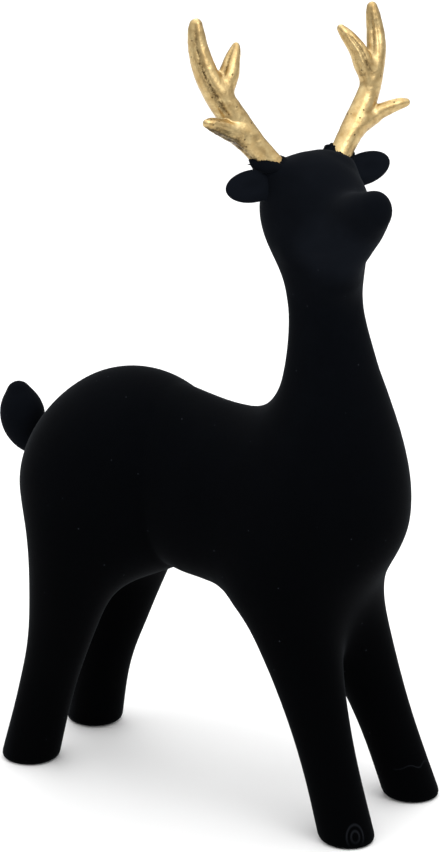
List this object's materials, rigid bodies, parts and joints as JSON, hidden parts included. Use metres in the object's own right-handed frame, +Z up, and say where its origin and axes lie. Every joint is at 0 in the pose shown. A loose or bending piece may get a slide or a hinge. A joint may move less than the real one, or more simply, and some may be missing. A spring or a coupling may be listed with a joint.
{
  "type": "reindeer figure",
  "caption": "Standing deer figure in black flock with a lifted, turned head, short upright tail, splayed legs and forked gilded antlers; a free-standing table or shelf ornament.",
  "frame": {"origin": "on the surface that it stands on, under the middle of the whole figure's box", "axes": "+X the way the body faces, +Y to the deer's left, +Z up"},
  "size_m": [0.2462, 0.1144, 0.4096],
  "materials": {
    "black_flock": "short black flock over cast resin, matt with a soft pale rim at grazing angles",
    "gold_leaf": "gilded cast resin, satin, worn darker in the flutes and pits"
  },
  "bodies": {
    "root": {"flocked_body": "black_flock", "right_antler": "gold_leaf", "left_antler": "gold_leaf"}
  },
  "joints": []
}
